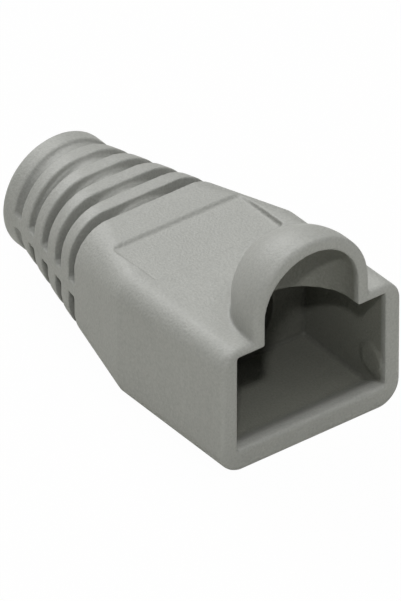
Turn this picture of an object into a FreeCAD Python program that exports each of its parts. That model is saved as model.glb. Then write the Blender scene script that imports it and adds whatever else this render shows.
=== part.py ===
"""Strain relief boot for a modular network plug, moulded in one piece of soft PVC.

The plug end is a box with a keyhole mouth: a rectangle for the plug's body and an
arch above it, under a domed hood, for the plug's latch.  Behind the mouth the box
tapers into a round sleeve for the cable.  Ten half-round slots, five over and five
under, leave ribs on the sleeve that bend with the cable, and a spine along each side
joins the ribs.

Millimetres.  +Z is up, the mouth looks along -Y and the cable leaves along +Y.
The origin is at the centre of the bottom of the boot's bounding box.
"""

import FreeCAD, Part
import math
import os
import Sketcher

V = FreeCAD.Vector

# %% Driving sizes, in millimetres
SIZES = [
    # the box at the plug end
    ("overall_length", 27.7),         # mouth face to the end of the sleeve
    ("box_length", 11.1),             # mouth face to where the taper starts
    ("box_width", 14.5),
    ("mouth_top", 9.55),              # height of the shoulders at the mouth
    ("box_rear_top", 9.34),           # height of the top where the taper starts
    ("mouth_top_round", 1.42),
    ("mouth_bottom_round", 1.8),
    ("box_rear_top_round", 1.57),
    ("box_rear_bottom_round", 1.64),
    ("underside_trim", 0.02),         # shaved off the outline to leave one true flat
    # the taper, and the round sleeve that it leads to
    ("neck_start", 17.2),             # mouth face to the narrow end of the taper
    ("neck_width", 12.1),
    ("neck_top", 9.07),
    ("neck_bottom", 0.1),
    ("neck_top_round", 2.75),
    ("neck_bottom_round", 2.75),
    ("sleeve_radius", 4.32),          # also the radius of the collar at the end
    ("sleeve_axis_height", 4.48),
    ("sleeve_end_flat", 0.1),         # short flat on each side of the nearly round end
    # the cavity for the plug's body
    ("side_wall", 1.25),
    ("top_wall", 0.6),
    ("floor_wall", 1.0),
    ("cavity_depth", 8.6),
    ("cavity_round", 0.15),
    # the hood over the latch
    ("latch_radius", 3.78),           # inside of the arch
    ("hood_wall", 0.88),
    ("hood_setback", 0.9),            # mouth face to the axis of the dome
    ("hood_spring_height", 10.78),    # where the upright sides turn into the dome
    # the cable passage
    ("funnel_radius", 3.5),           # opening in the cavity's rear wall
    ("funnel_length", 5.0),
    ("bore_radius", 3.1),
    # the shallow panel on the top
    ("panel_gap", 1.1),               # cavity's rear wall to the panel
    ("panel_length", 4.78),
    ("panel_width", 10.3),
    ("panel_depth", 0.35),
    ("panel_round", 0.25),
    # the slots that make the sleeve bend
    ("slot_end_gap", 1.98),           # last slot's centre to the end of the collar
    ("slot_pitch", 1.98),
    ("slot_width", 0.88),
    ("slot_core_radius", 4.12),
    ("slot_count", 5),
    ("spine_height", 1.0),
    # what holds the plug in the mouth
    ("lip_height", 0.7),              # ridge along the bottom of the mouth
    ("lip_depth", 1.5),               # mouth face to the foot of its rear slope
    ("lip_round", 0.25),
    ("nib_radius", 1.2),             # foot of the low round nib on each side wall
    ("nib_top_radius", 0.95),
    ("nib_rise", 0.12),
    ("nib_setback", 1.5),
    ("nib_height", 3.0),
    # softened edges
    ("mouth_edge_round", 0.35),
    ("sleeve_end_bevel", 0.4),
]

NODE = "boot"
PARTS_FOLDER = "parts"
SAMPLES = 5      # points tried along an edge
TINY = 1e-4      # how near a point must lie, in millimetres

doc = FreeCAD.newDocument("strain_relief_boot")

sheet = doc.addObject("Spreadsheet::Sheet", "Sizes")
for row, (name, value) in enumerate(SIZES, start=1):
    sheet.set("A%d" % row, name)
    sheet.set("B%d" % row, str(value))
    sheet.setAlias("B%d" % row, name)
doc.recompute()

body = doc.addObject("PartDesign::Body", "Boot")
body.Label = NODE


# %% Helpers: every size in a sketch or feature is an expression on the sheet
def sized(text):
    """Turn bare size names in an expression into references to the sheet."""
    words = text.replace("(", " ( ").replace(")", " ) ").split()
    names = {name for name, value in SIZES}
    return " ".join("Sizes." + word if word in names else word for word in words)


def now(text):
    """Present value of an expression, for the first guess at a sketch's points."""
    return float(sheet.evalExpression(sized(text)))


def plane(role):
    """One of the body's own origin planes."""
    return next(f for f in body.Origin.OriginFeatures if f.Role == role)


def sketch_on(name, role, offset=None):
    """New sketch on an origin plane, moved along the plane's normal by an expression."""
    sketch = body.newObject("Sketcher::SketchObject", name)
    sketch.AttachmentSupport = [(plane(role), "")]
    sketch.MapMode = "FlatFace"
    if offset:
        sketch.setExpression("AttachmentOffset.Base.z", sized(offset))
    return sketch


def drive(sketch, kind, refs, name, text):
    """Add a dimension to a sketch and bind it to an expression."""
    index = sketch.addConstraint(Sketcher.Constraint(kind, *refs, now(text)))
    sketch.renameConstraint(index, name)
    sketch.setExpression("Constraints." + name, sized(text))


def feature(kind, name, profile, **settings):
    """New feature of the body on a profile sketch; text settings are expressions."""
    item = body.newObject("PartDesign::" + kind, name)
    item.Profile = profile
    for setting, value in settings.items():
        if isinstance(value, str) and setting not in ("Type", "SideType"):
            item.setExpression(setting, sized(value))
        else:
            setattr(item, setting, value)
    doc.recompute()
    return item


def soften_edges(kind, name, size, wanted):
    """Fillet or chamfer every edge of the body whose sample points all pass the test."""
    base = body.Tip
    names = []
    for number, edge in enumerate(base.Shape.Edges, start=1):
        if edge.Degenerated:
            continue
        if all(wanted(point) for point in edge.discretize(SAMPLES)):
            names.append("Edge%d" % number)
    item = body.newObject("PartDesign::" + kind, name)
    item.Base = (base, names)
    item.setExpression("Radius" if kind == "Fillet" else "Size", sized(size))
    doc.recompute()
    return item


def line(sketch, start, end):
    return sketch.addGeometry(Part.LineSegment(V(*start, 0), V(*end, 0)), False)


def arc(sketch, centre, radius, start_deg, end_deg):
    circle = Part.Circle(V(*centre, 0), V(0, 0, 1), radius)
    ends = math.radians(start_deg), math.radians(end_deg)
    return sketch.addGeometry(Part.ArcOfCircle(circle, *ends), False)


def join(sketch, kind, *pairs):
    """Join pairs of (curve, end) to each other; ends are 1 for start and 2 for end."""
    for first, second in pairs:
        sketch.addConstraint(Sketcher.Constraint(kind, *first, *second))


def box_section(name, offset, width, bottom, top, round_bottom, round_top):
    """Rounded rectangle across the boot: four sides and four corner arcs."""
    sketch = sketch_on(name, "XZ_Plane", offset)
    half = now(width) / 2
    low, high = now(bottom), now(top)
    rb, rt = now(round_bottom), now(round_top)
    floor_side = line(sketch, (-half + rb, low), (half - rb, low))
    arc_1 = arc(sketch, (half - rb, low + rb), rb, -90, 0)
    right_side = line(sketch, (half, low + rb), (half, high - rt))
    arc_2 = arc(sketch, (half - rt, high - rt), rt, 0, 90)
    top_side = line(sketch, (half - rt, high), (-half + rt, high))
    arc_3 = arc(sketch, (-half + rt, high - rt), rt, 90, 180)
    left_side = line(sketch, (-half, high - rt), (-half, low + rb))
    arc_4 = arc(sketch, (-half + rb, low + rb), rb, 180, 270)
    ring = [floor_side, arc_1, right_side, arc_2, top_side, arc_3, left_side, arc_4]
    following = ring[1:] + ring[:1]
    join(sketch, "Tangent", *[((a, 2), (b, 1)) for a, b in zip(ring, following)])
    sketch.addConstraint(Sketcher.Constraint("Vertical", right_side))
    sketch.addConstraint(Sketcher.Constraint("Equal", arc_1, arc_4))
    sketch.addConstraint(Sketcher.Constraint("Equal", arc_2, arc_3))
    sketch.addConstraint(Sketcher.Constraint("Symmetric", floor_side, 1, floor_side, 2, -2))
    drive(sketch, "DistanceX", (left_side, 1, right_side, 1), "width", width)
    drive(sketch, "DistanceY", (-1, 1, floor_side, 1), "bottom", bottom)
    drive(sketch, "DistanceY", (-1, 1, top_side, 1), "top", top)
    drive(sketch, "Radius", (arc_1,), "round_bottom", round_bottom)
    drive(sketch, "Radius", (arc_2,), "round_top", round_top)
    doc.recompute()
    return sketch


def arch_section(name, offset, radius, spring, foot):
    """Upright sides with a half-round top, centred over the mouth."""
    sketch = sketch_on(name, "XZ_Plane", offset)
    r, z1, z0 = now(radius), now(spring), now(foot)
    foot_side = line(sketch, (-r, z0), (r, z0))
    right_side = line(sketch, (r, z0), (r, z1))
    crown = arc(sketch, (0, z1), r, 0, 180)
    left_side = line(sketch, (-r, z1), (-r, z0))
    join(sketch, "Coincident", ((foot_side, 2), (right_side, 1)), ((left_side, 2), (foot_side, 1)))
    join(sketch, "Tangent", ((right_side, 2), (crown, 1)), ((crown, 2), (left_side, 1)))
    sketch.addConstraint(Sketcher.Constraint("Horizontal", foot_side))
    sketch.addConstraint(Sketcher.Constraint("Vertical", right_side))
    sketch.addConstraint(Sketcher.Constraint("PointOnObject", crown, 3, -2))
    drive(sketch, "Radius", (crown,), "radius", radius)
    drive(sketch, "DistanceY", (-1, 1, crown, 3), "spring", spring)
    drive(sketch, "DistanceY", (-1, 1, foot_side, 1), "foot", foot)
    doc.recompute()
    return sketch


def dome_section(name, setback, radius, spring, foot):
    """Half outline of an upright bullet, to be turned about its own left side."""
    sketch = sketch_on(name, "YZ_Plane")
    r, y0, z1, z0 = now(radius), now(setback), now(spring), now(foot)
    axis_side = line(sketch, (y0, z1 + r), (y0, z0))
    foot_side = line(sketch, (y0, z0), (y0 + r, z0))
    wall_side = line(sketch, (y0 + r, z0), (y0 + r, z1))
    crown = arc(sketch, (y0, z1), r, 0, 90)
    join(sketch, "Coincident", ((axis_side, 2), (foot_side, 1)), ((foot_side, 2), (wall_side, 1)),
         ((crown, 2), (axis_side, 1)))
    join(sketch, "Tangent", ((wall_side, 2), (crown, 1)))
    sketch.addConstraint(Sketcher.Constraint("Vertical", axis_side))
    sketch.addConstraint(Sketcher.Constraint("Vertical", wall_side))
    sketch.addConstraint(Sketcher.Constraint("Horizontal", foot_side))
    sketch.addConstraint(Sketcher.Constraint("PointOnObject", crown, 3, axis_side))
    drive(sketch, "Radius", (crown,), "radius", radius)
    drive(sketch, "DistanceX", (-1, 1, axis_side, 1), "setback", setback)
    drive(sketch, "DistanceY", (-1, 1, crown, 3), "spring", spring)
    drive(sketch, "DistanceY", (-1, 1, foot_side, 1), "foot", foot)
    doc.recompute()
    return sketch


# %% The outside: a box, a taper and a sleeve, lofted from section to section
mouth_outline = box_section(
    "MouthOutline", None, "box_width", "- underside_trim", "mouth_top",
    "mouth_bottom_round", "mouth_top_round")
box_rear_outline = box_section(
    "BoxRearOutline", "- box_length", "box_width", "- underside_trim", "box_rear_top",
    "box_rear_bottom_round", "box_rear_top_round")
neck_outline = box_section(
    "NeckOutline", "- neck_start", "neck_width", "neck_bottom", "neck_top",
    "neck_bottom_round", "neck_top_round")
sleeve_end_outline = box_section(
    "SleeveEndOutline", "slot_end_gap - overall_length", "2 * sleeve_radius",
    "sleeve_axis_height - sleeve_radius", "sleeve_axis_height + sleeve_radius",
    "sleeve_radius - sleeve_end_flat / 2", "sleeve_radius - sleeve_end_flat / 2")

box = feature("AdditiveLoft", "Box", mouth_outline, Sections=[box_rear_outline], Ruled=True)
taper = feature("AdditiveLoft", "Taper", box_rear_outline, Sections=[neck_outline], Ruled=True)
sleeve = feature("AdditiveLoft", "Sleeve", neck_outline, Sections=[sleeve_end_outline],
                 Ruled=True)


def circle_section(name, offset, radius, height):
    """Circle across the boot, centred over its middle."""
    sketch = sketch_on(name, "XZ_Plane", offset)
    ring = sketch.addGeometry(Part.Circle(V(0, now(height), 0), V(0, 0, 1), now(radius)), False)
    sketch.addConstraint(Sketcher.Constraint("PointOnObject", ring, 3, -2))
    drive(sketch, "DistanceY", (-1, 1, ring, 3), "height", height)
    drive(sketch, "Radius", (ring,), "radius", radius)
    doc.recompute()
    return sketch


collar = feature(
    "Pad", "Collar",
    circle_section("CollarOutline", "- overall_length", "sleeve_radius", "sleeve_axis_height"),
    Length="slot_end_gap")


def underside_section(name):
    """Rectangle that covers the whole underside, seen from above."""
    sketch = sketch_on(name, "XY_Plane")
    half = now("box_width / 2 + side_wall")
    y0, y1 = now("- side_wall"), now("overall_length + side_wall")
    front = line(sketch, (-half, y0), (half, y0))
    right = line(sketch, (half, y0), (half, y1))
    rear = line(sketch, (half, y1), (-half, y1))
    left = line(sketch, (-half, y1), (-half, y0))
    chain = [front, right, rear, left]
    join(sketch, "Coincident", *[((a, 2), (b, 1)) for a, b in zip(chain, chain[1:] + chain[:1])])
    sketch.addConstraint(Sketcher.Constraint("Vertical", right))
    sketch.addConstraint(Sketcher.Constraint("Horizontal", rear))
    sketch.addConstraint(Sketcher.Constraint("Symmetric", front, 1, front, 2, -2))
    drive(sketch, "DistanceX", (front, 1, front, 2), "width", "box_width + 2 * side_wall")
    drive(sketch, "DistanceY", (front, 1, -1, 1), "ahead", "side_wall")
    drive(sketch, "DistanceY", (-1, 1, rear, 1), "reach", "overall_length + side_wall")
    doc.recompute()
    return sketch


underside = feature("Pocket", "Underside", underside_section("UndersideOutline"),
                    Length="2 * underside_trim")

# %% The hood: a straight arch at the mouth, closed behind by half a dome
HOOD_RADIUS = "latch_radius + hood_wall"
HOOD_FOOT = "box_rear_top - top_wall"
TOP_SLOPE = "(mouth_top - box_rear_top) / box_length"

hood_arch = feature(
    "Pad", "HoodArch",
    arch_section("HoodArchOutline", None, HOOD_RADIUS, "hood_spring_height", HOOD_FOOT),
    Length="hood_setback", Reversed=True)
hood_dome_outline = dome_section("HoodDomeOutline", "hood_setback", HOOD_RADIUS,
                                 "hood_spring_height", HOOD_FOOT)
hood_dome = feature("Revolution", "HoodDome", hood_dome_outline,
                    ReferenceAxis=(hood_dome_outline, ["Edge1"]), Midplane=True, Angle=180)


def at_mouth_face(point):
    return abs(point.y) < TINY


def at_sleeve_end(point):
    return abs(point.y - now("overall_length")) < TINY


soften_edges("Fillet", "MouthEdge", "mouth_edge_round", at_mouth_face)
soften_edges("Chamfer", "CollarEnd", "sleeve_end_bevel", at_sleeve_end)

# %% The hollow inside: plug cavity, latch pocket, funnel and cable passage
CEILING_AT_MOUTH = "mouth_top - top_wall"
CEILING_AT_REAR = "mouth_top - top_wall - cavity_depth * ( %s )" % TOP_SLOPE

cavity_mouth = box_section(
    "CavityMouth", None, "box_width - 2 * side_wall", "floor_wall", CEILING_AT_MOUTH,
    "cavity_round", "cavity_round")
cavity_rear = box_section(
    "CavityRear", "- cavity_depth", "box_width - 2 * side_wall", "floor_wall", CEILING_AT_REAR,
    "cavity_round", "cavity_round")
cavity = feature("SubtractiveLoft", "Cavity", cavity_mouth, Sections=[cavity_rear], Ruled=True)

latch_arch = feature(
    "Pocket", "LatchArch",
    arch_section("LatchArchOutline", None, "latch_radius", "hood_spring_height", HOOD_FOOT),
    Length="hood_setback")
latch_dome_outline = dome_section("LatchDomeOutline", "hood_setback", "latch_radius",
                                  "hood_spring_height", HOOD_FOOT)
latch_dome = feature("Groove", "LatchDome", latch_dome_outline,
                     ReferenceAxis=(latch_dome_outline, ["Edge1"]), Angle=360)


def passage_section(name):
    """Half outline of the funnel and the cable's bore, on the sleeve's axis."""
    sketch = sketch_on(name, "YZ_Plane")
    axis, wide = now("sleeve_axis_height"), now("sleeve_axis_height + funnel_radius")
    narrow = now("sleeve_axis_height + bore_radius")
    y0, y1 = now("cavity_depth"), now("cavity_depth + funnel_length")
    y2 = now("overall_length")
    axis_side = line(sketch, (y2, axis), (y0, axis))
    front = line(sketch, (y0, axis), (y0, wide))
    cone = line(sketch, (y0, wide), (y1, narrow))
    bore = line(sketch, (y1, narrow), (y2, narrow))
    rear = line(sketch, (y2, narrow), (y2, axis))
    chain = [axis_side, front, cone, bore, rear]
    join(sketch, "Coincident", *[((a, 2), (b, 1)) for a, b in zip(chain, chain[1:] + chain[:1])])
    for level in (axis_side, bore):
        sketch.addConstraint(Sketcher.Constraint("Horizontal", level))
    for upright in (front, rear):
        sketch.addConstraint(Sketcher.Constraint("Vertical", upright))
    drive(sketch, "DistanceY", (-1, 1, axis_side, 1), "axis", "sleeve_axis_height")
    drive(sketch, "DistanceX", (-1, 1, front, 1), "start", "cavity_depth")
    drive(sketch, "DistanceX", (cone, 1, cone, 2), "funnel_length", "funnel_length")
    drive(sketch, "DistanceX", (-1, 1, rear, 1), "end", "overall_length")
    drive(sketch, "DistanceY", (front, 1, front, 2), "funnel_radius", "funnel_radius")
    drive(sketch, "DistanceY", (rear, 2, rear, 1), "bore_radius", "bore_radius")
    doc.recompute()
    return sketch


passage_outline = passage_section("PassageOutline")
passage = feature("Groove", "Passage", passage_outline,
                  ReferenceAxis=(passage_outline, ["Edge1"]), Angle=360)


# %% The shallow panel sunk in the top
PANEL_START = "cavity_depth + panel_gap"


def panel_section(name, height):
    """Rounded rectangle seen from above, centred across the boot."""
    sketch = sketch_on(name, "XY_Plane", height)
    half, r = now("panel_width") / 2, now("panel_round")
    y0 = now(PANEL_START)
    y1 = y0 + now("panel_length")
    front = line(sketch, (-half + r, y0), (half - r, y0))
    arc_1 = arc(sketch, (half - r, y0 + r), r, -90, 0)
    right = line(sketch, (half, y0 + r), (half, y1 - r))
    arc_2 = arc(sketch, (half - r, y1 - r), r, 0, 90)
    rear = line(sketch, (half - r, y1), (-half + r, y1))
    arc_3 = arc(sketch, (-half + r, y1 - r), r, 90, 180)
    left = line(sketch, (-half, y1 - r), (-half, y0 + r))
    arc_4 = arc(sketch, (-half + r, y0 + r), r, 180, 270)
    ring = [front, arc_1, right, arc_2, rear, arc_3, left, arc_4]
    following = ring[1:] + ring[:1]
    join(sketch, "Tangent", *[((a, 2), (b, 1)) for a, b in zip(ring, following)])
    sketch.addConstraint(Sketcher.Constraint("Vertical", right))
    for other in (arc_2, arc_3, arc_4):
        sketch.addConstraint(Sketcher.Constraint("Equal", arc_1, other))
    sketch.addConstraint(Sketcher.Constraint("Symmetric", front, 1, front, 2, -2))
    drive(sketch, "DistanceX", (left, 1, right, 1), "width", "panel_width")
    drive(sketch, "DistanceY", (-1, 1, front, 1), "start", PANEL_START)
    drive(sketch, "DistanceY", (front, 1, rear, 1), "length", "panel_length")
    drive(sketch, "Radius", (arc_1,), "round", "panel_round")
    doc.recompute()
    return sketch


panel = feature("Pocket", "TopPanel",
                panel_section("TopPanelOutline", "box_rear_top - panel_depth"),
                Length="panel_depth + top_wall", Reversed=True)


# %% The slots: two half-round cuts at each step, over and under the side spines
def slot_section(name, offset):
    """Upper and lower cut outlines round the sleeve's core, outside the spines."""
    sketch = sketch_on(name, "XZ_Plane", offset)
    core, axis = now("slot_core_radius"), now("sleeve_axis_height")
    reach, half_spine = now("box_width / 2 + side_wall"), now("spine_height / 2")
    tilt = math.degrees(math.asin(half_spine / core))
    foot = core * math.cos(math.radians(tilt))
    for sign, side_name in ((1, "upper"), (-1, "lower")):
        inner, outer = axis + sign * half_spine, axis + sign * reach
        ends = (tilt, 180 - tilt) if sign > 0 else (180 + tilt, 360 - tilt)
        floor = arc(sketch, (0, axis), core, *ends)
        right_end, left_end = (1, 2) if sign > 0 else (2, 1)
        right_foot = line(sketch, (foot, inner), (reach, inner))
        right = line(sketch, (reach, inner), (reach, outer))
        across = line(sketch, (reach, outer), (-reach, outer))
        left = line(sketch, (-reach, outer), (-reach, inner))
        left_foot = line(sketch, (-reach, inner), (-foot, inner))
        chain = [right_foot, right, across, left, left_foot]
        join(sketch, "Coincident", *[((a, 2), (b, 1)) for a, b in zip(chain, chain[1:])])
        join(sketch, "Coincident", ((floor, right_end), (right_foot, 1)),
             ((floor, left_end), (left_foot, 2)))
        for side in (right_foot, left_foot):
            sketch.addConstraint(Sketcher.Constraint("Horizontal", side))
        for side in (right, left):
            sketch.addConstraint(Sketcher.Constraint("Vertical", side))
        sketch.addConstraint(Sketcher.Constraint("PointOnObject", floor, 3, -2))
        sketch.addConstraint(Sketcher.Constraint("Symmetric", across, 1, across, 2, -2))
        drive(sketch, "DistanceX", (across, 2, across, 1), side_name + "_width",
              "box_width + 2 * side_wall")
        drive(sketch, "Radius", (floor,), side_name + "_core", "slot_core_radius")
        drive(sketch, "DistanceY", (-1, 1, floor, 3), side_name + "_axis", "sleeve_axis_height")
        side_sign = "+" if sign > 0 else "-"
        drive(sketch, "DistanceY", (-1, 1, right_foot, 1), side_name + "_spine",
              "sleeve_axis_height %s spine_height / 2" % side_sign)
        drive(sketch, "DistanceY", (-1, 1, across, 1), side_name + "_reach",
              "sleeve_axis_height %s ( box_width / 2 + side_wall )" % side_sign)
        sketch.addConstraint(Sketcher.Constraint("Horizontal", left_foot, 1, right_foot, 2))
    doc.recompute()
    return sketch


slot = feature("Pocket", "Slot", slot_section("SlotOutline", "slot_end_gap - overall_length"),
               Length="slot_width", Midplane=True)

slots = body.newObject("PartDesign::LinearPattern", "Slots")
slots.Originals = [slot]
slots.Direction = (plane("Y_Axis"), [""])
slots.Reversed = True
slots.Mode = "Spacing"
slots.setExpression("Offset", sized("slot_pitch"))
slots.setExpression("Occurrences", sized("slot_count"))
body.Tip = slots
doc.recompute()


# %% What holds the plug: a ridge along the mouth's floor and a nib on each side wall
def lip_section(name):
    """Ridge on the cavity's floor: upright at the mouth, rounded over, sloping inwards."""
    sketch = sketch_on(name, "YZ_Plane")
    r, depth = now("lip_round"), now("lip_depth")
    z0, z1, z2 = now("floor_wall / 2"), now("floor_wall"), now("floor_wall + lip_height")
    span = math.hypot(depth - r, z2 - r - z1)
    turn = math.acos(r / span) - math.asin((z2 - r - z1) / span)
    crest = r + r * math.cos(turn), z2 - r + r * math.sin(turn)
    foot = line(sketch, (0, z0), (depth, z0))
    rear = line(sketch, (depth, z0), (depth, z1))
    slope = line(sketch, (depth, z1), crest)
    crown = arc(sketch, (r, z2 - r), r, math.degrees(turn), 180)
    front = line(sketch, (0, z2 - r), (0, z0))
    join(sketch, "Coincident", ((foot, 2), (rear, 1)), ((rear, 2), (slope, 1)),
         ((front, 2), (foot, 1)))
    join(sketch, "Tangent", ((slope, 2), (crown, 1)), ((crown, 2), (front, 1)))
    sketch.addConstraint(Sketcher.Constraint("Horizontal", foot))
    sketch.addConstraint(Sketcher.Constraint("Vertical", rear))
    sketch.addConstraint(Sketcher.Constraint("Vertical", front))
    sketch.addConstraint(Sketcher.Constraint("PointOnObject", front, 2, -2))
    drive(sketch, "DistanceX", (foot, 1, foot, 2), "depth", "lip_depth")
    drive(sketch, "DistanceY", (-1, 1, foot, 1), "foot", "floor_wall / 2")
    drive(sketch, "DistanceY", (-1, 1, rear, 2), "floor", "floor_wall")
    drive(sketch, "Radius", (crown,), "round", "lip_round")
    drive(sketch, "DistanceY", (-1, 1, crown, 3), "crown", "floor_wall + lip_height - lip_round")
    doc.recompute()
    return sketch


lip = feature("Pad", "Lip", lip_section("LipOutline"), Length="box_width - 2 * side_wall",
              Midplane=True)


def nib_section(name):
    """Half outline of a low round nib with sloping sides, seen from above."""
    sketch = sketch_on(name, "XY_Plane", "nib_height")
    wall, root = now("box_width / 2 - side_wall"), now("box_width / 2 - side_wall / 2")
    top, y = now("box_width / 2 - side_wall - nib_rise"), now("nib_setback")
    narrow, wide = now("nib_top_radius"), now("nib_radius")
    axis_side = line(sketch, (top, y), (root, y))
    back = line(sketch, (root, y), (root, y + wide))
    side = line(sketch, (root, y + wide), (wall, y + wide))
    slope = line(sketch, (wall, y + wide), (top, y + narrow))
    face = line(sketch, (top, y + narrow), (top, y))
    chain = [axis_side, back, side, slope, face]
    join(sketch, "Coincident", *[((a, 2), (b, 1)) for a, b in zip(chain, chain[1:] + chain[:1])])
    for level in (axis_side, side):
        sketch.addConstraint(Sketcher.Constraint("Horizontal", level))
    for upright in (back, face):
        sketch.addConstraint(Sketcher.Constraint("Vertical", upright))
    drive(sketch, "DistanceY", (-1, 1, axis_side, 1), "setback", "nib_setback")
    drive(sketch, "DistanceX", (-1, 1, slope, 1), "wall", "box_width / 2 - side_wall")
    drive(sketch, "DistanceX", (-1, 1, back, 1), "root", "box_width / 2 - side_wall / 2")
    drive(sketch, "DistanceX", (face, 1, slope, 1), "rise", "nib_rise")
    drive(sketch, "DistanceY", (back, 1, back, 2), "foot_radius", "nib_radius")
    drive(sketch, "DistanceY", (face, 2, face, 1), "top_radius", "nib_top_radius")
    doc.recompute()
    return sketch


nib_outline = nib_section("NibOutline")
nib = feature("Revolution", "Nib", nib_outline, ReferenceAxis=(nib_outline, ["Edge1"]), Angle=360)
nibs = body.newObject("PartDesign::Mirrored", "Nibs")
nibs.Originals = [nib]
nibs.MirrorPlane = (plane("YZ_Plane"), [""])
body.Tip = nibs
doc.recompute()


# %% Put the origin under the middle of the boot, check every object and write the part
body.setExpression("Placement.Base.y", sized("- overall_length / 2"))
doc.recompute()

for item in doc.Objects:
    failed = "Invalid" in item.State or "Error" in item.State
    if failed:
        raise SystemExit("%s failed: %s" % (item.Name, item.State))
if body.Shape.isNull() or not body.Shape.isValid() or len(body.Shape.Solids) != 1:
    raise SystemExit("the boot is not one valid solid")

os.makedirs(PARTS_FOLDER, exist_ok=True)
body.Shape.exportStep(os.path.join(PARTS_FOLDER, NODE + ".step"))
print("%s: one solid, %.1f cubic mm" % (NODE, body.Shape.Volume))
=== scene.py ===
# %% [markdown]
# # A cable boot of soft PVC
#
# The object is the rubbery grey cover that slides over the end of a network cable: a box
# with a keyhole mouth for the plug, a domed hood for the plug's latch, and a ribbed round
# sleeve that bends with the cable. Its exact form is the solid "boot", which is loaded
# first. What this lesson adds is what a moulding has and a solid model leaves out: edges
# softened by the mould, a faintly grained matt skin, and the light of a small studio. It
# also paints shade into the cavity, the hood, the bore and the slots, as a darker colour.
# Sizes are in millimetres, and MM turns them into Blender's metres.

import math

import bpy
import numpy as np
from mathutils import Matrix, Vector


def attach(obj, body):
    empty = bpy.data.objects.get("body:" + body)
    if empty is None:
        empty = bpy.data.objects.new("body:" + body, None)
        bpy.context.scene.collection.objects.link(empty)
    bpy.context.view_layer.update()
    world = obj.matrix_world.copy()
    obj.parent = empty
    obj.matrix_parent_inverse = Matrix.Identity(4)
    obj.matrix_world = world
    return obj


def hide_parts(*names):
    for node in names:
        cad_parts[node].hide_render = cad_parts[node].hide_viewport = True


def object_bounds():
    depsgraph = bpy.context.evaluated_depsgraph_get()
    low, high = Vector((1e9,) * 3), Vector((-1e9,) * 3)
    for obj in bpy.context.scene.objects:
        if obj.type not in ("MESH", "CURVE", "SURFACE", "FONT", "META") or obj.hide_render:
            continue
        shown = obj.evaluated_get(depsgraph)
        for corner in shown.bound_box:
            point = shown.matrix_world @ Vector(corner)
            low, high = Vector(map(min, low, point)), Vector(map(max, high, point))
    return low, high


MM = 0.001

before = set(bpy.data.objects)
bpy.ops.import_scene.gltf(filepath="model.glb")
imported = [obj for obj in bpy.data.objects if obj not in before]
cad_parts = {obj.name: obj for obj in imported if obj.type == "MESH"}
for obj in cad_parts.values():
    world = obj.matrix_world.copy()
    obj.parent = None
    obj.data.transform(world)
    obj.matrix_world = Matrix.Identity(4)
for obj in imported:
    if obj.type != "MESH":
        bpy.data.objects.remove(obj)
cad_low, cad_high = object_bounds()
print("solid box, mm:", [round(c / MM, 2) for c in (*cad_low, *cad_high)])

# %% [markdown]
# ## The camera
#
# A long lens from far away keeps the boot's parallel edges nearly parallel, as in a
# catalogue picture. An orthographic camera would make them exactly parallel, which no
# real lens does. The camera stands to the left in front of the mouth and looks down, so
# the mouth, the hood, one side and the ribs of the sleeve all show.

# %% Camera
AIM = Vector((-0.550, -2.783, 4.984)) * MM    # point of the boot at the middle of the frame
TURN = math.radians(37.3)                     # from straight ahead, round to the left
RISE = math.radians(35.18)                    # above the floor
DISTANCE = 1150 * MM
FRAME_HEIGHT = 38.75 * MM                     # what the frame's long side covers at the aim
NEAREST, FARTHEST = 10 * MM, 10000 * MM       # what lies between these is drawn

camera_data = bpy.data.cameras.new("camera")
camera = bpy.data.objects.new("camera", camera_data)
bpy.context.scene.collection.objects.link(camera)
bpy.context.scene.camera = camera

back = Vector((-math.sin(TURN) * math.cos(RISE),
               -math.cos(TURN) * math.cos(RISE),
               math.sin(RISE)))
camera.location = AIM + back * DISTANCE
camera.rotation_euler = (-back).to_track_quat("-Z", "Y").to_euler()
camera_data.lens = camera_data.sensor_width * DISTANCE / FRAME_HEIGHT
camera_data.clip_start, camera_data.clip_end = NEAREST, FARTHEST
print("lens, mm:", round(camera_data.lens, 1))

# %% [markdown]
# ## The studio
#
# Area lamps give the broad soft light of a studio, where a point or a sun would draw hard
# shadows. The wide one overhead gives most of the light. A second wide one behind the
# boot glances off its top and brightens every edge that turns away from the mouth, and a
# weaker one to the left of it reaches round the boot's side. The small one over the
# camera's shoulder shines into the mouth and draws the hood's shadow in the cavity.

# %% Lamps
LAMPS = {                  # place and width in millimetres, and power in watts
    "overhead": ((60, -70, 430), 420, 0.90),
    "behind": ((60, 340, 290), 240, 0.90),
    "edge": ((-120, 330, 270), 160, 0.20),
    "shoulder": ((-193, -254, 325), 25, 0.55),
}

for name, (place, width, watts) in LAMPS.items():
    lamp_data = bpy.data.lights.new(name, "AREA")
    lamp_data.shape = "SQUARE"
    lamp_data.size = width * MM
    lamp_data.energy = watts
    lamp = bpy.data.objects.new(name, lamp_data)
    bpy.context.scene.collection.objects.link(lamp)
    lamp.location = Vector(place) * MM
    lamp.rotation_euler = (AIM - lamp.location).to_track_quat("-Z", "Y").to_euler()
    print(name, "lamp:", watts, "W")

# %% [markdown]
# The air of the studio is white where the camera looks straight into it and almost dark
# for all other light, so it is a backdrop and not a lamp. The Light Path node tells the
# two apart. Metal or glass would need the white in its reflections too, but the boot has
# neither.

# %% Air
AIR_GLOW = 0.03            # strength of the air as a lamp; 1 is white

world = bpy.data.worlds.new("studio_air")
world.use_nodes = True
nodes, links = world.node_tree.nodes, world.node_tree.links
seen = nodes.new("ShaderNodeLightPath")
strength = nodes.new("ShaderNodeMath")
strength.operation = "MAXIMUM"
strength.inputs[1].default_value = AIR_GLOW
links.new(seen.outputs["Is Camera Ray"], strength.inputs[0])
nodes["Background"].inputs["Color"].default_value = (1, 1, 1, 1)
links.new(strength.outputs[0], nodes["Background"].inputs["Strength"])
bpy.context.scene.world = world
bpy.context.scene.view_settings.view_transform = "Standard"
print("air as a lamp:", AIR_GLOW)

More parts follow.
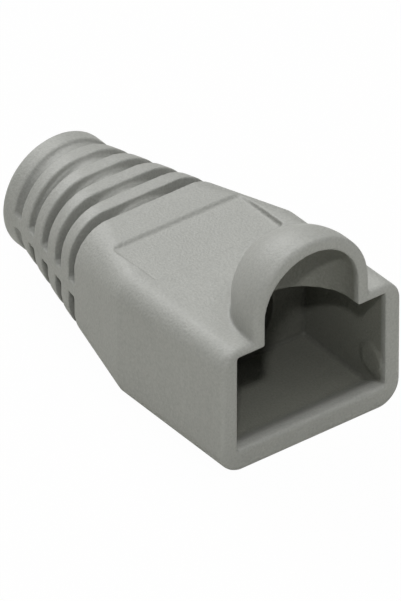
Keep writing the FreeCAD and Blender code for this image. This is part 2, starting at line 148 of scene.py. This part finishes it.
# %% [markdown]
# ## The floor
#
# The boot lies on white paper. All light that meets the paper finds it matt and goes back
# up from it, which is what lights the boot's upright sides. Matt paper alone would look
# grey at the level of these lamps. So what the camera sees of it is nearly all a plain
# white glow, with a trace of the matt paper and of the boot's shadow.

# %% White floor
REACH = 1500 * MM
corners = [(-REACH, -REACH, 0), (REACH, -REACH, 0), (REACH, REACH, 0), (-REACH, REACH, 0)]
floor_mesh = bpy.data.meshes.new("floor")
floor_mesh.from_pydata(corners, [], [(0, 1, 2, 3)])
floor = bpy.data.objects.new("floor", floor_mesh)
bpy.context.scene.collection.objects.link(floor)
print("floor, mm across:", round(2 * REACH / MM))

# %% Paper
PAPER = (0.79, 0.79, 0.75, 1)
GLOW_SHARE = 0.98          # of what the camera sees

paper = bpy.data.materials.new("white_paper")
paper.use_nodes = True
nodes, links = paper.node_tree.nodes, paper.node_tree.links
nodes.clear()
matt = nodes.new("ShaderNodeBsdfDiffuse")
matt.inputs["Color"].default_value = PAPER
glow = nodes.new("ShaderNodeEmission")
glow.inputs["Color"].default_value = (1, 1, 1, 1)
glow.inputs["Strength"].default_value = 1.0
path = nodes.new("ShaderNodeLightPath")
share = nodes.new("ShaderNodeMath")
share.operation = "MULTIPLY"
share.inputs[1].default_value = GLOW_SHARE
blend = nodes.new("ShaderNodeMixShader")
out = nodes.new("ShaderNodeOutputMaterial")
links.new(path.outputs["Is Camera Ray"], share.inputs[0])
links.new(share.outputs[0], blend.inputs[0])
links.new(matt.outputs[0], blend.inputs[1])
links.new(glow.outputs[0], blend.inputs[2])
links.new(blend.outputs[0], out.inputs["Surface"])
floor_mesh.materials.append(paper)
print("paper:", len(nodes), "nodes")

# %% [markdown]
# ## The moulded skin
#
# Soft PVC leaves its mould with every edge a little rounded, where most of the solid's
# are sharp. A Bevel modifier rounds edges one by one, but it fails where many small faces
# meet, as they do where the slots run out into the taper. So the skin is made from a copy
# of the solid. The copy is rebuilt as a fine even net of faces, the net is relaxed, which
# rounds edges and leaves flat places flat, and the faces that flat places don't need are
# taken out again. The ribs repeat, but the solid already has them, so no Geometry Nodes
# are needed to lay them out. The work is done in millimetres, because the modifier that
# lays the net has a smallest step.

# %% Copy of the solid, with its loose triangles merged
import bmesh

MERGE = 0.002 * MM         # points nearer than this are one

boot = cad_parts["boot"]
skin_mesh = boot.data.copy()
skin_mesh.materials.clear()
work = bmesh.new()
work.from_mesh(skin_mesh)
bmesh.ops.remove_doubles(work, verts=work.verts, dist=MERGE)
bmesh.ops.scale(work, vec=(1 / MM,) * 3, verts=work.verts)
work.to_mesh(skin_mesh)
work.free()
skin = bpy.data.objects.new("boot_skin", skin_mesh)
bpy.context.scene.collection.objects.link(skin)
print("copy:", len(skin_mesh.polygons), "faces")

# %% Even net
NET = 0.10                 # mm between the net's lines


def settled(item):
    """The item's mesh with its modifiers worked in, which are then removed."""
    view = bpy.context.evaluated_depsgraph_get()
    made = bpy.data.meshes.new_from_object(item.evaluated_get(view))
    item.modifiers.clear()
    item.data = made
    return made


net = skin.modifiers.new("net", "REMESH")
net.mode = "VOXEL"
net.voxel_size = NET
fine = settled(skin)
print("net:", len(fine.vertices), "points")

# %% [markdown]
# ### The ridge in the mouth
#
# A low ridge along the bottom of the mouth holds the plug. Behind its crown the solid has
# a straight slope, where the real one rounds off gently. One more solid could be blended
# in, but it is simpler to lift the net's own points. Those that lie over the slope go up
# on to an S-shaped curve, which starts at the crown and runs out into the cavity's floor.

# %% Rounder back for the ridge
MOUTH = cad_low[1] / MM                 # where the mouth's face stands along Y
CROWN, FLOOR = 1.7, 1.0                 # heights of the ridge and of the cavity's floor
FALL_START, FALL_LENGTH = 0.5, 1.9      # behind the mouth
JUST_UNDER = 0.03                       # how far under the floor points still count

spots = np.empty(len(fine.vertices) * 3)
fine.vertices.foreach_get("co", spots)
x, y, z = spots.reshape(-1, 3).T        # x and z stay windows on spots
y = y - MOUTH                           # y is a new row: the distance behind the mouth


def in_box(reach, behind, heights):
    """Points within reach of the middle, in a span behind the mouth and a span of height."""
    return ((abs(x) < reach) & (y > behind[0]) & (y < behind[1])
            & (z > heights[0]) & (z < heights[1]))


fall = np.clip((y - FALL_START) / FALL_LENGTH, 0, 1)
ridge = CROWN - (CROWN - FLOOR) * fall ** 2 * (3 - 2 * fall)
lifted = in_box(6.3, (0.25, FALL_START + FALL_LENGTH), (FLOOR - JUST_UNDER, ridge))
z[lifted] = ridge[lifted]
fine.vertices.foreach_set("co", spots)
print("ridge:", int(lifted.sum()), "points lifted")

# %% [markdown]
# ### Softer and crisper places
#
# Each relaxing pass moves every point half way to the middle of its neighbours. The whole
# skin gets one pass, and the cavity and the sunk panel on the top get no more, so their
# edges stay crisp. The rest of the outside gets two more. The places where the mould is
# softest, which are the foot of the hood, the ridge in the mouth and the two nibs, get
# many more. Groups could be painted on the skin by hand, but picking the points by where
# they lie gives the same groups each time.

# %% Groups of points
HOOD_AXIS = 0.9                         # upright axis of the hood, behind the mouth
FOOT = 4.8                              # from that axis to the foot of the hood
FOOT_HEIGHT = 9.6
AROUND = 0.6                            # how far the softness of the foot reaches
FOOT_FROM = 0.6                         # the mouth's own face is left out

panel = in_box(5.6, (9.3, 14.9), (8.6, math.inf))
cavity = in_box(6.1, (0.3, 9.0), (0.9, 9.0))
lip = in_box(6.0, (-math.inf, 2.8), (0.9, 2.2))
nibs = in_box(6.2, (0.35, 2.85), (1.6, 4.4)) & (abs(x) > 5.7)
from_hood = np.hypot(x, np.maximum(y - HOOD_AXIS, 0))
foot = (abs(from_hood - FOOT) < AROUND) & (abs(z - FOOT_HEIGHT) < AROUND) & (y > FOOT_FROM)
softer = {                              # how many more passes, and where
    "outside": (2, ~panel & ~cavity),
    "foot": (10, foot),
    "lip": (8, lip),
    "nibs": (8, nibs),
}
for name, (passes, chosen) in softer.items():
    group = skin.vertex_groups.new(name=name)
    group.add(np.flatnonzero(chosen).tolist(), 1.0, "REPLACE")
    print(name, "points:", int(chosen.sum()))

# %% Relax, then take out the faces that flat places don't need
EVERYWHERE = 1             # passes for the whole skin
TARGET = 150000            # triangles


def relax(passes, group=""):
    """Add relaxing passes for a group of the skin's points, or for all of them."""
    soft = skin.modifiers.new("relax", "SMOOTH")
    soft.factor = 0.5
    soft.iterations = passes
    soft.vertex_group = group


relax(EVERYWHERE)
for name, (passes, chosen) in softer.items():
    relax(passes, name)
thin = skin.modifiers.new("thin", "DECIMATE")
thin.ratio = TARGET / (2 * len(fine.polygons))
skin_mesh = settled(skin)
skin.vertex_groups.clear()
skin_mesh.transform(Matrix.Scale(MM, 4))
skin_mesh.shade_smooth()
skin_mesh.name = "boot_skin"
skin_mesh.calc_loop_triangles()
print("skin:", len(skin_mesh.loop_triangles), "triangles")

# %% [markdown]
# The skin moves with the part's root body, hides the solid that it was copied from, and
# has its material: those three facts are all that the shared frame needs to know of it.

# %% Let the skin stand for the solid
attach(skin, "root")
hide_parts("boot")
print("the skin replaces the solid")

# %% [markdown]
# ## Soft PVC
#
# The plastic is a warm mid grey, matt but not dead, and never quite even. An image could
# hold its marks, but it would have to be unwrapped and would show seams. Patterns that
# are worked out from a point's place have neither fault, so every pattern here is laid
# out in the boot's own millimetres.

# %% Material and its millimetre coordinates
pvc = bpy.data.materials.new("soft_pvc")
pvc.use_nodes = True
nodes, links = pvc.node_tree.nodes, pvc.node_tree.links
surface = nodes["Principled BSDF"]
frame_of_part = nodes.new("ShaderNodeTexCoord")
in_mm = nodes.new("ShaderNodeMapping")
in_mm.inputs["Scale"].default_value = (1 / MM,) * 3
links.new(frame_of_part.outputs["Object"], in_mm.inputs["Vector"])
axes = nodes.new("ShaderNodeSeparateXYZ")
links.new(in_mm.outputs["Vector"], axes.inputs[0])
across, along, up = axes.outputs
print("material:", pvc.name)

# %% [markdown]
# ### Painted shade inside
#
# The inside of the cavity, the inside of the hood and the passage for the cable get a
# darker colour, which is painted shade, and a duller sheen. Painting those faces by hand
# would work too, but a mask from a few distances is exact and stays right if the net
# changes. It is 1 inside a box, a dome and a round bar, and 0 outside. It fades in just
# behind the mouth's edge, and leaves out the front of the ridge.

# %% Math nodes, and distances from the mouth and the middle
def plug_in(value, socket):
    """Link a socket, or set a number."""
    if isinstance(value, bpy.types.NodeSocket):
        links.new(value, socket)
    else:
        socket.default_value = value


def calc(operation, first, second=0.0, clamp=False):
    """Math node on two sockets or numbers."""
    node = nodes.new("ShaderNodeMath")
    node.operation = operation
    node.use_clamp = clamp
    plug_in(first, node.inputs[0])
    plug_in(second, node.inputs[1])
    return node.outputs[0]


behind_mouth = calc("SUBTRACT", along, MOUTH)
side = calc("ABSOLUTE", across)
print("distances:", len(nodes), "nodes so far")

# %% Inside the cavity
CAVITY_SIDE = 6.1          # a little past the cavity's walls
CAVITY_MIDDLE = 4.9        # height of the cavity's middle
CAVITY_RISE = 4.0          # from there to its floor and its roof
CAVITY_DEPTH = 8.6


def within(distance, limit, fade=0.25):
    """1 inside the limit, fading to 0 over a short way past it."""
    return calc("DIVIDE", calc("SUBTRACT", limit + fade, distance), fade, clamp=True)


def product(*factors):
    """All the factors multiplied."""
    result = factors[0]
    for factor in factors[1:]:
        result = calc("MULTIPLY", result, factor)
    return result


from_middle = calc("ABSOLUTE", calc("SUBTRACT", up, CAVITY_MIDDLE))
in_cavity = product(within(side, CAVITY_SIDE), within(from_middle, CAVITY_RISE),
                    within(behind_mouth, CAVITY_DEPTH))
print("cavity:", len(nodes), "nodes so far")

# %% Inside the hood and the bore
SPRING = 10.78             # height at which the hood's dome begins
HOOD_INSIDE = 3.9          # a little past the hood's inner wall
HOOD_FOOT = 8.8            # the hood's inside starts above this
HOOD_SHADE_SHARE = 0.88           # how much of the painted shade the hood's inside gets
SLEEVE_AXIS = 4.48         # height of the sleeve's middle
BORE_INSIDE = 3.6          # past the bore and its funnel


def length_of(first, second, third=0.0):
    """Length of the line with these three parts."""
    ends = nodes.new("ShaderNodeCombineXYZ")
    for value, socket in zip((first, second, third), ends.inputs):
        plug_in(value, socket)
    node = nodes.new("ShaderNodeVectorMath")
    node.operation = "LENGTH"
    links.new(ends.outputs[0], node.inputs[0])
    return node.outputs["Value"]


past_axis = calc("MAXIMUM", calc("SUBTRACT", behind_mouth, HOOD_AXIS), 0.0)
over_spring = calc("MAXIMUM", calc("SUBTRACT", up, SPRING), 0.0)
in_dome = within(length_of(across, past_axis, over_spring), HOOD_INSIDE)
in_hood = product(in_dome, calc("GREATER_THAN", up, HOOD_FOOT), HOOD_SHADE_SHARE)
over_axis = calc("SUBTRACT", up, SLEEVE_AXIS)
in_bore = within(length_of(across, over_axis), BORE_INSIDE)
print("hood and bore:", len(nodes), "nodes so far")

# %% The whole mask
EDGE, EDGE_FADE = 0.2, 0.4              # behind the mouth, where the mask fades in
RIDGE_END, RIDGE_FADE = 2.3, 1 / 0.7    # behind the mouth, where the ridge fades out
RIDGE_HEIGHT = 1.75                     # just over the ridge's crown
RIDGE_SIDE = 5.7                        # just short of the cavity's walls


def outside_of(mask):
    """1 where the mask is 0, and 0 where it is 1."""
    return calc("SUBTRACT", 1.0, mask)


down_ridge = within(behind_mouth, RIDGE_END - RIDGE_FADE, RIDGE_FADE)
on_ridge = product(within(up, RIDGE_HEIGHT), down_ridge, within(side, RIDGE_SIDE))
# Painted shade: where this mask is 1, the colour is made darker to stand for shade, and the
# sheen is made duller.
painted_shade_inside = calc("MAXIMUM", calc("MAXIMUM", in_cavity, in_hood), in_bore)
painted_shade_inside = product(painted_shade_inside, outside_of(within(behind_mouth, EDGE, EDGE_FADE)), outside_of(on_ridge))
print("mask:", len(nodes), "nodes so far")

# %% [markdown]
# ### Corners, depth and grooves
#
# Deep and narrow places look darker on the real boot than these lamps make them, since
# the broad lamps and the white paper throw light into every recess. Moving the lamps
# would change the light everywhere else too, so these places are painted a little darker:
# the corners where the cavity's faces meet, the cavity as it goes in, and the slots of
# the sleeve.

# %% Corners of the cavity, and its depth
CORNER_DARK, DEPTH_DARK = 0.30, 0.24    # shares of the colour taken away
BY_FLOOR, BY_WALL, BY_REAR = 1.1, 5.65, 8.25        # just off each face of the cavity

low = within(up, BY_FLOOR)
wide = outside_of(within(side, BY_WALL))
deep = outside_of(within(behind_mouth, BY_REAR))
on_floor = product(low, calc("MAXIMUM", wide, deep))
corner = product(calc("MAXIMUM", on_floor, product(wide, deep)), painted_shade_inside, CORNER_DARK)

depth_share = calc("MULTIPLY", behind_mouth, 1 / CAVITY_DEPTH, clamp=True)
inward = product(depth_share, depth_share, DEPTH_DARK, painted_shade_inside)
print("corners and depth:", len(nodes), "nodes so far")

# %% Slots of the sleeve
PITCH = 1.98               # from slot to slot, and from the last one to the sleeve's end
SLOT_HALF, SLOT_FADE = 0.50, 1 / 12     # half the width, and the fade inside it
SLOTS_FROM, SLOTS_TO = 1.2, 10.4        # from the sleeve's end
SPINE_HALF = 0.45          # half the height of the spine along each side
GROOVE_DARK = 0.28         # share of the colour taken away
FULL_BELOW, CROWN_FADE = 6.9, 2.7       # heights: all of it up to here, then it fades
LAST_SLOT, LAST_MORE = 2.6, 0.2         # the shallow slot by the collar gets a fifth more

from_end = calc("SUBTRACT", cad_high[1] / MM, along)
from_slot = calc("MULTIPLY", calc("PINGPONG", calc("DIVIDE", from_end, PITCH), 0.5), PITCH)
in_slot = within(from_slot, SLOT_HALF - SLOT_FADE, SLOT_FADE)
on_sleeve = product(within(from_end, SLOTS_TO), calc("GREATER_THAN", from_end, SLOTS_FROM))
off_spine = outside_of(within(calc("ABSOLUTE", over_axis), SPINE_HALF))
down_side = within(up, FULL_BELOW, CROWN_FADE)
by_collar = calc("ADD", 1.0, calc("MULTIPLY", within(from_end, LAST_SLOT), LAST_MORE))
groove = product(in_slot, on_sleeve, off_spine, down_side, by_collar, GROOVE_DARK)
print("grooves:", len(nodes), "nodes so far")

# %% [markdown]
# ### Colour
#
# Filled plastic is never one flat colour. A slow drift runs over the whole boot and fine
# flecks lie on top of it. Two plain colours would do for the outside and for the inside,
# whose darker colour is painted shade, but a mask that mixes them lets one material serve
# the whole moulding. The painted shade of the corners, the depth and the slots then
# darkens the result. A Mix node has sockets for numbers, vectors and colours, and the
# colours are inputs 6 and 7 and output 2.

# %% Colour
FROM_MOULD = (0.420, 0.425, 0.398, 1)
# The inside's colour is darker, as painted shade.
INSIDE_SHADE_COLOUR = (0.220, 0.223, 0.192, 1)
DRIFT, FLECK = 0.10, 0.40  # how far the shade goes up and down


def noise(per_mm, detail):
    """Noise pattern with so many waves to the millimetre."""
    node = nodes.new("ShaderNodeTexNoise")
    node.inputs["Scale"].default_value = per_mm
    node.inputs["Detail"].default_value = detail
    links.new(in_mm.outputs["Vector"], node.inputs["Vector"])
    return node.outputs["Fac"]


drift = calc("MULTIPLY", calc("SUBTRACT", noise(0.35, 3.0), 0.5), DRIFT)
fleck = calc("MULTIPLY", calc("SUBTRACT", noise(6.0, 2.0), 0.5), FLECK)
shade = calc("ADD", 1.0, calc("ADD", drift, fleck))
shade = product(shade, outside_of(corner), outside_of(inward), outside_of(groove))
tones = nodes.new("ShaderNodeMix")
tones.data_type = "RGBA"
mask, from_mould, shaded_input = (tones.inputs[i] for i in (0, 6, 7))
from_mould.default_value = FROM_MOULD
shaded_input.default_value = INSIDE_SHADE_COLOUR
links.new(painted_shade_inside, mask)
tint = nodes.new("ShaderNodeVectorMath")
tint.operation = "SCALE"
links.new(tones.outputs[2], tint.inputs[0])
links.new(shade, tint.inputs["Scale"])
links.new(tint.outputs[0], surface.inputs["Base Color"])
print("colour:", len(nodes), "nodes so far")

# %% [markdown]
# ### Sheen and grain
#
# The sheen is a soft satin, a little patchy outside and duller inside the cavity, the
# hood and the bore, where the colour is painted darker as shade. The skin also has a fine
# grain and a few broad waves, both far too shallow to show in the outline. Moving the
# net's points for them would take millions of faces, so a Bump node tilts the light's
# reflection instead.

# %% Sheen and grain
SATIN, PATCHY, DULL = 0.42, 0.12, 0.15
GRAIN, WAVES = 0.042, 0.030             # heights in millimetres

gloss = calc("ADD", SATIN, calc("MULTIPLY", noise(1.2, 2.0), PATCHY))
gloss = calc("ADD", gloss, calc("MULTIPLY", painted_shade_inside, DULL))
links.new(gloss, surface.inputs["Roughness"])

grain = calc("MULTIPLY", noise(6.0, 3.0), GRAIN)
waves = calc("MULTIPLY", noise(0.6, 1.0), WAVES)
bump = nodes.new("ShaderNodeBump")
bump.inputs["Strength"].default_value = 1.0
bump.inputs["Distance"].default_value = MM
links.new(calc("ADD", grain, waves), bump.inputs["Height"])
links.new(bump.outputs["Normal"], surface.inputs["Normal"])
skin_mesh.materials.clear()
skin_mesh.materials.append(pvc)
print("soft PVC:", len(nodes), "nodes")
